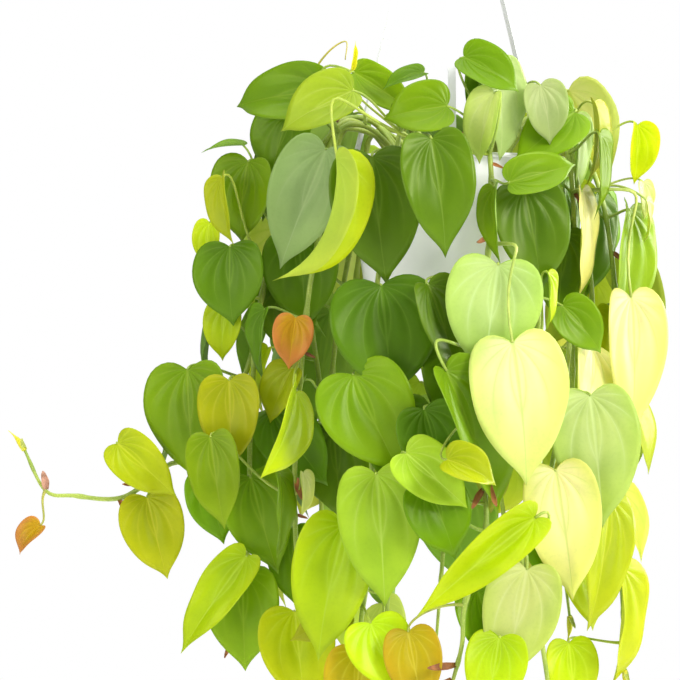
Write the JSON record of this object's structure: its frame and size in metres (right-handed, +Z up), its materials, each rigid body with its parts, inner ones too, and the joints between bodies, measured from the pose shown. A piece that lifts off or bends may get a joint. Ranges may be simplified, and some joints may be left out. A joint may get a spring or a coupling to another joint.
{
  "type": "potted philodendron",
  "caption": "Trailing heart-leaf plant in a white hanging basket, with stems that arch over the rim and hang in curtains of lime and green heart-shaped leaves",
  "frame": {"origin": "the point inside the top of the hook that bears on whatever carries the basket", "axes": "+Z up along the hanger, -Y to the front of the plant, +X to the plant's right as seen from the front"},
  "size_m": [0.5076, 0.321, 0.8506],
  "materials": {
    "basket_plastic": "white moulded plastic, satin",
    "hanger_plastic": "white moulded plastic, slightly glossy",
    "label_plastic": "blank dark teal plastic",
    "potting_mix": "damp peat and bark, rough",
    "vine_stem": "green living stem, smooth",
    "leaf_deep": "deep green leaf, waxy and glossy",
    "leaf_mid": "mid green leaf, waxy",
    "leaf_lime": "lime green leaf, waxy, lets light through",
    "leaf_pale": "pale lime leaf, waxy, lets light through",
    "leaf_olive": "olive yellow leaf, waxy",
    "leaf_bronze": "young bronze leaf, thin and soft"
  },
  "bodies": {
    "root": {"pot": "basket_plastic", "saucer": "basket_plastic", "soil": "potting_mix", "hook": "hanger_plastic", "strap_front": "hanger_plastic", "strap_right": "hanger_plastic", "strap_left": "hanger_plastic", "plant_label": "label_plastic", "vine_front_left": "vine_stem", "vine_front": "vine_stem", "vine_front_right": "vine_stem", "vine_right_front": "vine_stem", "vine_right": "vine_stem", "vine_left_front": "vine_stem", "vine_left": "vine_stem", "vine_left_shoot": "vine_stem", "vine_back_left": "vine_stem", "vine_back": "vine_stem", "vine_back_right": "vine_stem", "leaf_01": "leaf_deep", "leaf_02": "leaf_deep", "leaf_03": "leaf_deep", "leaf_04": "leaf_pale", "leaf_05": "leaf_pale", "leaf_06": "leaf_lime", "leaf_07": "leaf_lime", "leaf_08": "leaf_lime", "leaf_09": "leaf_olive", "leaf_10": "leaf_mid", "leaf_11": "leaf_bronze", "leaf_12": "leaf_lime", "leaf_13": "leaf_deep", "leaf_14": "leaf_lime", "leaf_15": "leaf_mid", "leaf_16": "leaf_mid", "leaf_17": "leaf_mid", "leaf_18": "leaf_mid", "leaf_19": "leaf_mid", "leaf_20": "leaf_deep", "leaf_21": "leaf_lime", "leaf_22": "leaf_mid", "leaf_23": "leaf_lime", "leaf_24": "leaf_lime", "leaf_25": "leaf_pale", "leaf_26": "leaf_pale", "leaf_27": "leaf_olive", "leaf_28": "leaf_pale", "leaf_29": "leaf_lime", "leaf_30": "leaf_mid", "leaf_31": "leaf_olive", "leaf_32": "leaf_mid", "leaf_33": "leaf_lime", "leaf_34": "leaf_olive", "leaf_35": "leaf_bronze", "leaf_36": "leaf_mid", "leaf_37": "leaf_deep", "leaf_38": "leaf_lime", "leaf_39": "leaf_mid", "leaf_40": "leaf_lime", "leaf_41": "leaf_lime"}
  },
  "joints": []
}
